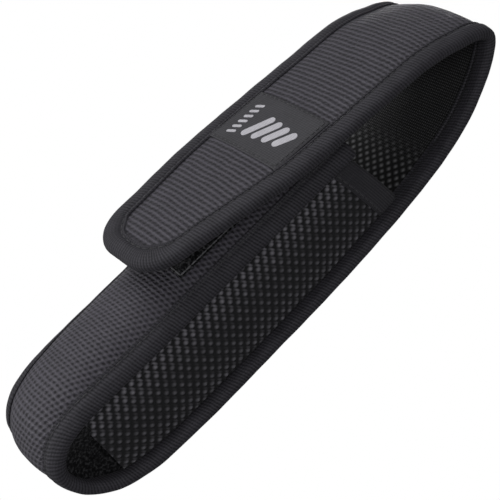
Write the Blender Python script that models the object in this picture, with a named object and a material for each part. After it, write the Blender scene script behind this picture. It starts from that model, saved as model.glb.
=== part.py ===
"""Belt sheath for a duty flashlight, closed and empty.

One long padded strip makes the front panel, turns under the bottom, rises as the back panel, folds over
the mouth and comes down again as the flap. Elastic gussets close its sides.

Frame: metres, +Z up as worn, -Y the front with the flap, +Y the wearer. The origin is the middle of the
tunnel that the belt runs through, behind the back panel.
"""

import math

import bmesh
import bpy
import numpy as np

MM = 0.001
GAP = 0.3 * MM

# Strip: padded laminate with folded binding tape on its edges
BINDING_THICK = 4.8 * MM
BINDING_FACE = 7.5 * MM
TAPE = 0.6 * MM
SHELL = 0.8 * MM
LINING = 0.6 * MM
LAMINATE = BINDING_THICK - 2 * (TAPE + GAP)
FOAM = LAMINATE - SHELL - LINING - 2 * GAP

# Belt loop and its tunnel
TUNNEL_DEPTH = 5.6 * MM
TUNNEL_HEIGHT = 52 * MM
LOOP_WEBBING = 1.6 * MM
LOOP_WIDTH = 25.4 * MM
LOOP_END = 9 * MM
LOOP_RAMP = 4 * MM
BACK_Y = -TUNNEL_DEPTH / 2 - LAMINATE / 2

# Side profile of the strip, from the front of the mouth round to the flap's tip, in millimetres:
# distance in front of the back panel, height, half width, and how far the edges curl back, in degrees
POUCH_PROFILE = (
    (30.8, 43.5, 22.2, 62), (30.8, 0, 22.2, 62), (30.9, -50, 22.0, 62), (31.2, -71, 21.3, 56),
    (30.9, -82.5, 20.3, 44), (28.2, -91.8, 19.7, 31), (21.0, -97.5, 19.9, 22), (11.8, -95.4, 21.5, 12),
    (4.8, -87.5, 23.6, 4), (1.2, -75, 25.2, 0), (0.3, -58, 26.0, 0), (-0.2, -20, 26.0, 0),
    (0.0, 10, 26.0, 0), (1.1, 32, 26.0, 0), (2.8, 50, 26.0, 0),
)
FOLD_PROFILE = (
    (5.8, 68, 26.0, 0), (10.2, 82, 26.0, 1), (17.2, 94.2, 26.0, 3), (24.2, 102.4, 25.8, 6),
    (27.2, 104.6, 25.7, 8), (29.2, 105.2, 25.7, 9),
)
FLAP_PROFILE = (
    (31.2, 104.4, 25.7, 10), (33.6, 101.4, 25.7, 12), (36.6, 94, 25.8, 13), (40.4, 82, 26.0, 12),
    (43.2, 57, 26.0, 10), (44.8, 38, 26.0, 10), (46.4, 20, 25.7, 9), (48.5, 4, 24.0, 8),
    (50.4, -14, 21.2, 7), (51.9, -30, 19.1, 6), (52.4, -38.0, 18.4, 6),
)
CURL_POWER = 1.4
TIP_RADIUS = 13 * MM
FLAP_STEP = 13 * MM

# Elastic side gussets, with the tape hem over their top edge. Their front and back edges lie inside the
# bindings, at (sideways, back) from the middle of each edge roll, and their middle bulges outward.
GUSSET_THICK = 1.2 * MM
GUSSET_IN_FRONT = (-2.3 * MM, 3.6 * MM)
GUSSET_IN_BACK = (-2.0 * MM, -3.1 * MM)
GUSSET_BULGE = (1.9 * MM, -0.5 * MM)
GUSSET_TOP_FRONT = 42 * MM
GUSSET_TOP_BACK = 47.5 * MM
GUSSET_BOTTOM = -81 * MM
HEM_HEIGHT = 9.3 * MM
HEM_TAPE = 0.5 * MM
HEM_START, HEM_END = 0.09, 0.93
HEM_SLACK = 0.4 * MM
CORNER_TOP = GUSSET_BOTTOM - 0.8 * MM
CORNER_X = 16.8 * MM
CORNER_THICK = 1.2 * MM

# Pieces laid on the strip
PATCH_HALF = 11 * MM
PATCH_LOW, PATCH_HIGH = -28 * MM, 21 * MM
LOOP_PATCH_THICK = 1.5 * MM
HOOK_PATCH_THICK = 1.2 * MM
HOOK_PATCH_RAISE = 6 * MM
LABEL_LOW, LABEL_HIGH = 15.5 * MM, 40 * MM
LABEL_THICK = 0.5 * MM
THREAD = 0.5 * MM
STITCH_INSET = 1.6 * MM

COLOURS = {
    "ballistic_nylon": ((0.030, 0.029, 0.034), 0.62),
    "binding_tape": ((0.034, 0.033, 0.038), 0.70),
    "elastic_web": ((0.038, 0.037, 0.042), 0.60),
    "foam": ((0.055, 0.055, 0.060), 0.95),
    "lining": ((0.022, 0.022, 0.024), 0.80),
    "hook_and_loop": ((0.020, 0.020, 0.022), 0.95),
    "webbing": ((0.028, 0.028, 0.032), 0.65),
    "woven_label": ((0.045, 0.044, 0.050), 0.75),
    "thread": ((0.070, 0.069, 0.076), 0.60),
}


def clear_scene():
    for item in list(bpy.data.objects):
        bpy.data.objects.remove(item, do_unlink=True)


def material(slot):
    """The Principled material of one slot, made once."""
    found = bpy.data.materials.get(slot)
    if found:
        return found
    colour, rough = COLOURS[slot]
    made = bpy.data.materials.new(slot)
    made.use_nodes = True
    shader = made.node_tree.nodes["Principled BSDF"]
    shader.inputs["Base Color"].default_value = (*colour, 1)
    shader.inputs["Roughness"].default_value = rough
    shader.inputs["Metallic"].default_value = 0
    return made


class Strip:
    """The middle surface of the strip, addressed by s along it, l across it and h outward from it."""

    def __init__(self):
        rows = np.array(POUCH_PROFILE + FOLD_PROFILE + FLAP_PROFILE, dtype=float)
        rows[:, :3] *= MM
        keys = np.concatenate(([0], np.cumsum(np.hypot(*np.diff(rows[:, :2], axis=0).T))))
        slopes = np.gradient(rows, keys, axis=0)
        dense = []
        for i, span in enumerate(np.diff(keys)):
            steps = max(4, int(span / (0.5 * MM)))
            for t in np.arange(steps) / steps:
                dense.append(hermite(rows[i], rows[i + 1], slopes[i] * span, slopes[i + 1] * span, t))
        dense.append(rows[-1])
        dense = np.array(dense)
        path = np.column_stack((BACK_Y - dense[:, 0], dense[:, 1]))
        self.s = np.concatenate(([0], np.cumsum(np.hypot(*np.diff(path, axis=0).T))))
        self.path = path
        self.half = dense[:, 2]
        self.curl = np.radians(dense[:, 3])
        self.along = np.gradient(path, self.s, axis=0)
        self.length = self.s[-1]
        self.fold_start = self.nearest(POUCH_PROFILE[-1])
        self.crown = self.nearest(FOLD_PROFILE[-1])
        bottom = float(self.s[int(np.argmin(path[:, 1]))])
        self.front = (0.0, bottom)
        self.back = (bottom, self.fold_start)
        self.flap = (self.crown, self.length)

    def nearest(self, row):
        """Distance along the strip of one row of its profile."""
        away = np.hypot(self.path[:, 0] - (BACK_Y - row[0] * MM), self.path[:, 1] - row[1] * MM)
        return self.s[int(np.argmin(away))]

    def at_height(self, z, stretch):
        """Distance along the strip, within one stretch of it, where its edge is at one height."""
        inside = (self.s >= stretch[0]) & (self.s <= stretch[1])
        s, heights = self.s[inside], self.path[inside, 1]
        return float(s[int(np.argmin(np.abs(heights - z)))])

    def read(self, column, s):
        return float(np.interp(s, self.s, column))

    def half_width(self, s, inset=0.0):
        """Half width an inset short of the finished edge, with the flap's rounded tip."""
        half = self.read(self.half, s) - inset
        left = self.length - inset - s
        radius = TIP_RADIUS - inset
        if left < radius:
            half -= radius - math.sqrt(max(0.0, radius ** 2 - (radius - left) ** 2))
        return half

    def frame(self, s):
        """Edge point, outward direction, half width to the edge roll's middle, and curl at s."""
        edge = np.array([self.read(self.path[:, k], s) for k in (0, 1)])
        along = np.array([self.read(self.along[:, k], s) for k in (0, 1)])
        along /= np.hypot(*along)
        outward = np.array([along[1], -along[0]])
        return edge, outward, self.read(self.half, s) - BINDING_THICK / 2, self.read(self.curl, s)

    def point(self, s, l, h):
        edge, outward, span, curl = self.frame(s)
        x, rise, angle = across(abs(l), span, curl)
        x_edge, rise_edge, _ = across(span, span, curl)
        middle = edge + outward * (rise_edge - rise + h * math.cos(angle))
        return (math.copysign(x + h * math.sin(angle), l), middle[0], middle[1])


def hermite(a, b, slope_a, slope_b, t):
    return (a * (1 + 2 * t) * (1 - t) ** 2 + slope_a * t * (1 - t) ** 2
            + b * t * t * (3 - 2 * t) - slope_b * t * t * (1 - t))


def across(l, span, curl):
    """Sideways distance, drop from the crown and slope, l away from the strip's centre line."""
    steps = 12
    inner = min(l, span)
    t = (np.arange(steps) + 0.5) / steps * inner / span
    angles = curl * t ** CURL_POWER
    angle = curl * (inner / span) ** CURL_POWER
    x = float(np.cos(angles).sum()) * inner / steps + (l - inner) * math.cos(angle)
    drop = float(np.sin(angles).sum()) * inner / steps + (l - inner) * math.sin(angle)
    return x, drop, angle


def stations(strip, start, end, turn=8.0, longest=45 * MM):
    """Places along the strip, closer together where it turns, curls or changes width."""
    dense = np.linspace(start, end, max(3, int((end - start) / MM)))
    kept = [start]
    state = None
    for s in dense:
        _, outward, span, curl = strip.frame(s)
        now = np.array([math.degrees(math.atan2(outward[1], outward[0])),
                        math.degrees(curl) * 0.8, span / MM * 4])
        if state is None:
            state = now
        change = np.abs(now - state)
        change[0] = min(change[0], 360 - change[0])
        if change.max() > turn or s - kept[-1] > longest:
            kept.append(float(s))
            state = now
    if end - kept[-1] < 1.5 * MM and len(kept) > 1:
        kept.pop()
    return kept + [end]


def tip_stations(strip, start, inset=0.0, steps=6):
    """As stations() to the flap's end, less an inset, with rows round the corners of its tip."""
    radius = TIP_RADIUS - inset
    end = strip.length - inset
    rows = [s for s in stations(strip, start, end - radius, longest=FLAP_STEP) if s < end - radius - MM]
    turns = [math.pi / 2 * (1 - k / steps) for k in range(steps + 1)]
    return rows + [end - radius * (1 - math.cos(a)) for a in turns]


def add_object(name, slot, verts, faces):
    """One closed mesh in a named object, its faces turned outward."""
    mesh = bpy.data.meshes.new(name)
    mesh.from_pydata([tuple(v) for v in verts], [], faces)
    body = bmesh.new()
    body.from_mesh(mesh)
    bmesh.ops.recalc_face_normals(body, faces=body.faces)
    if body.calc_volume(signed=True) < 0:
        bmesh.ops.reverse_faces(body, faces=body.faces)
    body.to_mesh(mesh)
    body.free()
    mesh.shade_smooth()
    mesh.set_sharp_from_angle(angle=math.radians(35))
    made = bpy.data.objects.new(name, mesh)
    bpy.context.scene.collection.objects.link(made)
    mesh.materials.append(material(slot))
    return made


def slab_faces(rows, columns):
    """Faces of a closed slab: its outer grid, its inner grid, then walls round its four sides."""
    def outer(i, j):
        return i * columns + j

    def inner(i, j):
        return outer(i, j) + rows * columns

    faces = []
    for i in range(rows - 1):
        for j in range(columns - 1):
            faces.append((outer(i, j), outer(i + 1, j), outer(i + 1, j + 1), outer(i, j + 1)))
            faces.append((inner(i, j), inner(i, j + 1), inner(i + 1, j + 1), inner(i + 1, j)))
    for i in range(rows - 1):
        faces.append((outer(i, 0), inner(i, 0), inner(i + 1, 0), outer(i + 1, 0)))
        last = columns - 1
        faces.append((outer(i, last), outer(i + 1, last), inner(i + 1, last), inner(i, last)))
    for j in range(columns - 1):
        last = rows - 1
        faces.append((outer(0, j), outer(0, j + 1), inner(0, j + 1), inner(0, j)))
        faces.append((outer(last, j), inner(last, j), inner(last, j + 1), outer(last, j + 1)))
    return faces


def slab(name, slot, surface, grid, h_out, h_in):
    """A closed slab between two offsets of a surface(u, v, h), over a grid of (u, v) places."""
    verts = [surface(u, v, h) for h in (h_out, h_in) for row in grid for u, v in row]
    return add_object(name, slot, verts, slab_faces(len(grid), len(grid[0])))


def even_grid(strip, rows, inset, columns=8):
    """Evenly spaced places across the strip that stop an inset short of its edges."""
    return [[(s, strip.half_width(s, inset) * (2 * j / columns - 1)) for j in range(columns + 1)]
            for s in rows]


def curled_grid(strip, rows, inset, columns=6):
    """Places across a curled strip, with its outermost ones where the folded tape's faces bend."""
    grid = []
    for s in rows:
        half = strip.half_width(s)
        side = [half - inset, half - BINDING_FACE * 2 / 3]
        middle = [(half - BINDING_FACE) * (2 * j / columns - 1) for j in range(columns + 1)]
        grid.append([(s, l) for l in [-side[0], -side[1]] + middle + side[::-1]])
    return grid


def patch_grid(low, high, left, right, rows, columns):
    """A rectangle of places, rows from low to high and columns from left to right."""
    return [[(low + (high - low) * i / rows, left + (right - left) * j / columns)
             for j in range(columns + 1)] for i in range(rows + 1)]


def fold_profile(thick, tape, face, steps=4):
    """Outer and inner line of a tape folded over an edge: (distance in from the edge, offset)."""
    lines = []
    for offset in (0.0, tape):
        radius = thick / 2 - offset
        line = [(face, radius), (face * 2 / 3, radius)]
        for k in range(steps + 1):
            angle = math.pi / 2 - math.pi * k / steps
            line.append((thick / 2 - radius * math.cos(angle), radius * math.sin(angle)))
        line += [(face * 2 / 3, -radius), (face, -radius)]
        lines.append(line)
    return lines


def folded_tape(name, slot, surface, edge, thick, tape, face):
    """Tape folded over an edge, given as places (u, v) with their inward directions."""
    outer, inner = fold_profile(thick, tape, face)
    ring = outer + inner[::-1]
    verts = []
    for (u, v), (du, dv) in edge:
        verts += [surface(u + du * w, v + dv * w, h) for w, h in ring]
    count, half = len(ring), len(outer)
    faces = []
    for i in range(len(edge) - 1):
        for j in range(count):
            a, b = i * count + j, i * count + (j + 1) % count
            faces.append((a, b, b + count, a + count))
    for base in (0, (len(edge) - 1) * count):
        for j in range(half - 1):
            cap = (base + j, base + j + 1, base + count - 2 - j, base + count - 1 - j)
            faces.append(cap)
    return add_object(name, slot, verts, faces)


def side_edge(strip, rows, side):
    """The strip's edge on one side, with the direction in towards its middle."""
    return [((s, side * strip.half_width(s)), (0, -side)) for s in rows]


def laminate(strip, prefix, grid):
    """Shell, foam core and lining of one stretch of the strip, as three solids."""
    outside = LAMINATE / 2
    layers = (("shell", "ballistic_nylon", SHELL), ("foam", "foam", FOAM), ("lining", "lining", LINING))
    for layer, slot, thick in layers:
        slab(f"{prefix}_{layer}", slot, strip.point, grid, outside, outside - thick)
        outside -= thick + GAP


def build_pouch_strip(strip):
    end = strip.fold_start - GAP / 2
    rows = stations(strip, BINDING_THICK / 2, end)
    laminate(strip, "pouch", curled_grid(strip, rows, BINDING_THICK / 2))
    for side, word in ((-1, "left"), (1, "right")):
        folded_tape(f"pouch_binding_{word}", "binding_tape", strip.point,
                    side_edge(strip, [0.0] + rows[1:], side), BINDING_THICK, TAPE, BINDING_FACE)
    reach = strip.half_width(0) - BINDING_FACE - GAP
    across_mouth = [((0.0, reach * (k / 4 - 1)), (1, 0)) for k in range(9)]
    folded_tape("mouth_binding", "binding_tape", strip.point, across_mouth,
                BINDING_THICK, TAPE, BINDING_FACE)


def build_fold_strip(strip):
    rows = stations(strip, strip.fold_start + GAP / 2, strip.crown - GAP / 2)
    laminate(strip, "fold", curled_grid(strip, rows, BINDING_THICK / 2, columns=2))
    for side, word in ((-1, "left"), (1, "right")):
        folded_tape(f"fold_binding_{word}", "binding_tape", strip.point,
                    side_edge(strip, rows, side), BINDING_THICK, TAPE, BINDING_FACE)


def flap_outline(strip):
    """The flap's edge from the crown, round its tip and back, with inward directions."""
    right = [(s, strip.half_width(s)) for s in tip_stations(strip, strip.crown + GAP / 2)]
    tip = right[-1][1]
    bottom = [(strip.length, tip * (1 - k / 3)) for k in range(1, 6)]
    places = np.array(right + bottom + [(s, -l) for s, l in reversed(right)])
    along = np.gradient(places, axis=0)
    along /= np.hypot(along[:, 0], along[:, 1])[:, None]
    inward = np.column_stack((along[:, 1], -along[:, 0]))
    inward[0], inward[-1] = (0, -1), (0, 1)
    return [(tuple(p), tuple(d)) for p, d in zip(places, inward)]


def build_flap_strip(strip):
    inset = BINDING_THICK / 2
    laminate(strip, "flap", even_grid(strip, tip_stations(strip, strip.crown + GAP / 2, inset), inset))
    folded_tape("flap_binding", "binding_tape", strip.point, flap_outline(strip),
                BINDING_THICK, TAPE, BINDING_FACE)


def stitch_ring(name, surface, low, high, half, top, sides=6):
    """A row of thread sewn round a rectangle, as one closed ring lying on a surface."""
    loops = []
    for inset in (0.0, THREAD):
        a, b, c = low + inset, high - inset, half - inset
        loop = [(a, c * (2 * k / sides - 1)) for k in range(sides)]
        loop += [(a + (b - a) * k / sides, c) for k in range(sides)]
        loop += [(b, c * (1 - 2 * k / sides)) for k in range(sides)]
        loop += [(b - (b - a) * k / sides, -c) for k in range(sides)]
        loops.append(loop)
    low_h, high_h = top + GAP, top + GAP + THREAD / 2
    rings = [(loops[0], low_h), (loops[0], high_h), (loops[1], high_h), (loops[1], low_h)]
    verts = [surface(u, v, h) for loop, h in rings for u, v in loop]
    count = len(loops[0])
    faces = []
    for i in range(4):
        for j in range(count):
            a, b = i * count, (i + 1) % 4 * count
            faces.append((a + j, a + (j + 1) % count, b + (j + 1) % count, b + j))
    add_object(name, "thread", verts, faces)


def build_patches(strip):
    """Loop patch on the front, hook patch under the flap, and the label across the flap."""
    skin = LAMINATE / 2 + GAP
    low, high = sorted(strip.at_height(z, strip.front) for z in (PATCH_LOW, PATCH_HIGH))
    top = skin + LOOP_PATCH_THICK
    slab("loop_patch", "hook_and_loop", strip.point,
         patch_grid(low, high, -PATCH_HALF, PATCH_HALF, 3, 6), top, skin)
    stitch_ring("loop_patch_thread", strip.point, low + STITCH_INSET, high - STITCH_INSET,
                PATCH_HALF - STITCH_INSET, top)
    low, high = sorted(strip.at_height(z + HOOK_PATCH_RAISE, strip.flap) for z in (PATCH_LOW, PATCH_HIGH))
    slab("hook_patch", "hook_and_loop", strip.point,
         patch_grid(low, high, -PATCH_HALF, PATCH_HALF, 5, 4), -skin, -skin - HOOK_PATCH_THICK)
    low, high = sorted(strip.at_height(z, strip.flap) for z in (LABEL_LOW, LABEL_HIGH))
    half = strip.half_width(high) - BINDING_FACE - 2 * GAP
    top = skin + LABEL_THICK
    slab("woven_label", "woven_label", strip.point,
         patch_grid(low, high, -half, half, 3, 8), top, skin)
    stitch_ring("label_thread", strip.point, low + MM, high - MM, half - MM, top)


def gusset_surface(strip, side):
    """Middle surface of one gusset: k from the front edge (0) to the back edge (1), height, offset."""
    def edge_place(z, stretch, offset):
        s = strip.at_height(z, stretch)
        roll = strip.point(s, strip.half_width(s) - BINDING_THICK / 2, 0)
        return np.array(roll[:2]) + np.array(offset)

    def surface(k, z, h):
        start = edge_place(z, strip.front, GUSSET_IN_FRONT)
        chord = edge_place(z, strip.back, GUSSET_IN_BACK) - start
        bulge = 4 * np.array(GUSSET_BULGE)
        place = start + chord * k + bulge * k * (1 - k)
        slope = chord + bulge * (1 - 2 * k)
        x, y = place + np.array([slope[1], -slope[0]]) / np.hypot(*slope) * h
        return (side * x, y, z)

    return surface


def gusset_top(k):
    return GUSSET_TOP_FRONT + (GUSSET_TOP_BACK - GUSSET_TOP_FRONT) * k


def build_gusset(strip, side, word):
    """One elastic gusset and the tape folded over its top edge."""
    surface = gusset_surface(strip, side)
    rows, columns = 8, 6
    top_inset = HEM_TAPE + GAP + HEM_SLACK
    grid = []
    for i in range(rows + 1):
        places = []
        for j in range(columns + 1):
            k = j / columns
            places.append((k, GUSSET_BOTTOM + (gusset_top(k) - top_inset - GUSSET_BOTTOM) * i / rows))
        grid.append(places)
    slab(f"gusset_{word}", "elastic_web", surface, grid, GUSSET_THICK / 2, -GUSSET_THICK / 2)
    ends = [HEM_START + (HEM_END - HEM_START) * i / columns for i in range(columns + 1)]
    edge = [((k, gusset_top(k)), (0, -1)) for k in ends]
    thick = GUSSET_THICK + 2 * (GAP + HEM_TAPE)
    folded_tape(f"gusset_hem_{word}", "binding_tape", surface, edge, thick, HEM_TAPE, HEM_HEIGHT)


def build_corner(strip, side, word):
    """Tape that closes one side inside the bottom turn, below the gusset."""
    start = strip.at_height(CORNER_TOP, strip.front)
    end = strip.at_height(CORNER_TOP, strip.back)
    inside = -(BINDING_THICK / 2 + GAP)
    outline = []
    for s in stations(strip, start, end, turn=14):
        edge, outward, _, _ = strip.frame(s)
        outline.append(edge + outward * inside)
    verts = [(side * x, y, z) for x in (CORNER_X, CORNER_X - CORNER_THICK) for y, z in outline]
    count = len(outline)
    faces = [tuple(range(count)), tuple(range(2 * count - 1, count - 1, -1))]
    faces += [(j, (j + 1) % count, count + (j + 1) % count, count + j) for j in range(count)]
    add_object(f"corner_tape_{word}", "binding_tape", verts, faces)


def build_belt_loop(strip):
    """Webbing sewn to the back panel above and below the belt's tunnel, with its thread."""
    reach = TUNNEL_HEIGHT / 2

    def panel_y(z):
        return strip.point(strip.at_height(z, strip.back), 0, LAMINATE / 2 + GAP)[1]

    knees = [(z, panel_y(z)) for z in (-reach - LOOP_RAMP - LOOP_END, -reach - LOOP_RAMP)]
    knees += [(-reach, TUNNEL_DEPTH / 2), (reach, TUNNEL_DEPTH / 2)]
    knees += [(z, panel_y(z)) for z in (reach + LOOP_RAMP, reach + LOOP_RAMP + LOOP_END)]

    def surface(u, v, h):
        i = min(int(u), len(knees) - 2)
        (z_a, y_a), (z_b, y_b) = knees[i], knees[i + 1]
        t = u - i
        return (v, y_a + (y_b - y_a) * t + h, z_a + (z_b - z_a) * t)

    grid = [[(float(i), v) for v in (-LOOP_WIDTH / 2, LOOP_WIDTH / 2)] for i in range(len(knees))]
    slab("belt_loop", "webbing", surface, grid, LOOP_WEBBING, 0.0)
    half = LOOP_WIDTH / 2 - STITCH_INSET
    for word, first in (("lower", 0), ("upper", len(knees) - 2)):
        stitch_ring(f"belt_loop_thread_{word}", lambda u, v, h, z=first: surface(z + u, v, h),
                    0.15, 0.85, half, LOOP_WEBBING)


def hang(strip, name, s, pieces):
    """Parent the pieces that bend away at s to an empty on their hinge line, on the strip's outer face."""
    axis = bpy.data.objects.new(name, None)
    axis.location = strip.point(s, 0, BINDING_THICK / 2)
    bpy.context.scene.collection.objects.link(axis)
    bpy.context.view_layer.update()
    for piece in pieces:
        moving = bpy.data.objects[piece]
        moving.parent = axis
        moving.matrix_parent_inverse = axis.matrix_world.inverted()
    return axis


def main():
    clear_scene()
    strip = Strip()
    build_pouch_strip(strip)
    build_fold_strip(strip)
    build_flap_strip(strip)
    build_patches(strip)
    for side, word in ((-1, "left"), (1, "right")):
        build_gusset(strip, side, word)
        build_corner(strip, side, word)
    build_belt_loop(strip)
    fold_pieces = [item.name for item in bpy.data.objects if item.name.startswith("fold_")]
    flap_pieces = [item.name for item in bpy.data.objects if item.name.startswith("flap_")]
    lean_axis = hang(strip, "lean_axis", strip.fold_start, fold_pieces)
    lift_axis = hang(strip, "lift_axis", strip.crown,
                     flap_pieces + ["hook_patch", "woven_label", "label_thread"])
    lift_axis.parent = lean_axis
    lift_axis.matrix_parent_inverse = lean_axis.matrix_world.inverted()


main()
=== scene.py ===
"""Looks of the flashlight belt sheath: padded ballistic nylon, bound edges, dotted elastic sides.

The strip's profile and the places of the sewn pieces repeat those of the CAD source. Lengths are in metres,
and the "cloth" UV map of every piece holds millimetres along the cloth, which the weaves are drawn by.
"""

import math

import bmesh
import bpy
import numpy as np
from mathutils import Matrix, Vector


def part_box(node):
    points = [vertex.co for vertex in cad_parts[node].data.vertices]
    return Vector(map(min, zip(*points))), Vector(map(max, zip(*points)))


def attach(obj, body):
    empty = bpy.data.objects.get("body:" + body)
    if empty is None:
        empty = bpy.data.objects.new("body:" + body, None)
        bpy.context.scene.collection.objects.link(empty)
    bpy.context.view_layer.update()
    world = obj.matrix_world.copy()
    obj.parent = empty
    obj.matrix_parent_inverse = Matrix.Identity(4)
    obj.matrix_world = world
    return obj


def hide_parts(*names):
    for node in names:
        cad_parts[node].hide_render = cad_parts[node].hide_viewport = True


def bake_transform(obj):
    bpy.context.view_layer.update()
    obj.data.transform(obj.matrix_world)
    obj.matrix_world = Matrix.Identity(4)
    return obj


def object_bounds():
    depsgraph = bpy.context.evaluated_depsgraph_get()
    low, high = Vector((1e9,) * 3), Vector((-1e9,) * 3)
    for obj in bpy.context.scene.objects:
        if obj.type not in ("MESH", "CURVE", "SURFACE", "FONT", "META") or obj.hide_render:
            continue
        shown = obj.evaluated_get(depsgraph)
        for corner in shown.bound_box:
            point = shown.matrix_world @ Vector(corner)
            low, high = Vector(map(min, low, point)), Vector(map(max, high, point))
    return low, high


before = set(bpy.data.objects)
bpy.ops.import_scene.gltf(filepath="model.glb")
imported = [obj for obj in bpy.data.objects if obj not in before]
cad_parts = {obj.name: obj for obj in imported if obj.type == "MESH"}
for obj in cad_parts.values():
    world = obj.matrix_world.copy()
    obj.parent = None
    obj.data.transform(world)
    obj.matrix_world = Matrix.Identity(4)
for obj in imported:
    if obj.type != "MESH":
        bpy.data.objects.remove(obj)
cad_box = [list(corner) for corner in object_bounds()]

MM = 0.001

# The strip, as in the CAD source
BINDING_THICK = 4.8 * MM
BINDING_FACE = 7.5 * MM
TAPE = 0.6 * MM
LAMINATE = 3.0 * MM
TUNNEL_DEPTH = 5.6 * MM
TUNNEL_HEIGHT = 52 * MM
BACK_Y = -TUNNEL_DEPTH / 2 - LAMINATE / 2
POUCH_PROFILE = (
    (30.8, 43.5, 22.2, 62), (30.8, 0, 22.2, 62), (30.9, -50, 22.0, 62), (31.2, -71, 21.3, 56),
    (30.9, -82.5, 20.3, 44), (28.2, -91.8, 19.7, 31), (21.0, -97.5, 19.9, 22), (11.8, -95.4, 21.5, 12),
    (4.8, -87.5, 23.6, 4), (1.2, -75, 25.2, 0), (0.3, -58, 26.0, 0), (-0.2, -20, 26.0, 0),
    (0.0, 10, 26.0, 0), (1.1, 32, 26.0, 0), (2.8, 50, 26.0, 0),
)
FOLD_PROFILE = (
    (5.8, 68, 26.0, 0), (10.2, 82, 26.0, 1), (17.2, 94.2, 26.0, 3), (24.2, 102.4, 25.8, 6),
    (27.2, 104.6, 25.7, 8), (29.2, 105.2, 25.7, 9),
)
FLAP_PROFILE = (
    (31.2, 104.4, 25.7, 10), (33.6, 101.4, 25.7, 12), (36.6, 94, 25.8, 13), (40.4, 82, 26.0, 12),
    (43.2, 57, 26.0, 10), (44.8, 38, 26.0, 10), (46.4, 20, 25.7, 9), (48.5, 4, 24.0, 8),
    (50.4, -14, 21.2, 7), (51.9, -30, 19.1, 6), (52.4, -38.0, 18.4, 6),
)
CURL_POWER = 1.4
TIP_RADIUS = 13 * MM
CROWN_SAG, TURN_RISE = 3.2 * MM, 1.6 * MM

# Sewn pieces, as in the CAD source
GUSSET_THICK = 1.2 * MM
GUSSET_IN_FRONT = (-2.3 * MM, 3.6 * MM)
GUSSET_IN_BACK = (-2.0 * MM, -3.1 * MM)
GUSSET_BULGE = (1.9 * MM, -0.5 * MM)
FRONT_FLANGE, BACK_FLANGE = 0.20, 0.14
GUSSET_TOP_FRONT = 42 * MM
GUSSET_TOP_BACK = 47.5 * MM
GUSSET_BOTTOM = -81 * MM
GUSSET_WIDTH = 25.5 * MM
HEM_HEIGHT = 9.3 * MM
CORNER_TOP = GUSSET_BOTTOM - 0.8 * MM
CORNER_X = 16.8 * MM
PATCH_HALF = 11 * MM
PATCH_STEP = 0.7 * MM
BOX_STITCH = 2.4 * MM
PATCH_LOW, PATCH_HIGH = -28 * MM, 21 * MM
HOOK_PATCH_RAISE = 6 * MM
LABEL_LOW, LABEL_HIGH = 15.5 * MM, 40 * MM
LOOP_WIDTH = 25.4 * MM
LOOP_WEBBING = 1.6 * MM
LOOP_END = 9 * MM
LOOP_RAMP = 4 * MM
LOOP_STITCH = 2.2 * MM

# Sewing
STITCH_INSET = 1.25 * MM
STITCH_STEP = 2.9 * MM
THREAD_RADIUS = 0.26 * MM
GROOVE_DEPTH = 0.55 * MM
SEAM_PROUD = 0.55 * MM
ROLL_STEP = 0.8 * MM
END_STEPS = np.array((0, 0.08, 0.3, 0.6, 1.0, 1.5)) * MM
AFTER_ENDS = 2.1 * MM
SIDE_TUCK, MOUTH_TUCK = 1.5 * MM, 1.8 * MM

# Where the strip is split into its lower and upper pieces
SPLIT_HEIGHT = 72 * MM

# Weave pitches, in millimetres
FRONT_ROW, FLAP_ROW = 1.6, 1.9
FRONT_KNOT, FLAP_KNOT = 1.85, 2.2
FLOAT_PITCH = (4.3 * MM, 3.56 * MM)

# The camera and the room
VIEW_AZIMUTH, VIEW_ELEVATION = math.radians(47.6), math.radians(-12)
VIEW_AIM = Vector((0, -17.3 * MM, 0))
VIEW_DISTANCE, VIEW_SHIFT, LENS = 0.414, 2.087 * MM, 86.4
LIGHT_AIM = Vector((0, -0.02, 0))
FLOOR_DROP, FLOOR_REACH = 0.35, 2.0


# ---------------------------------------------------------------- the strip

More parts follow.
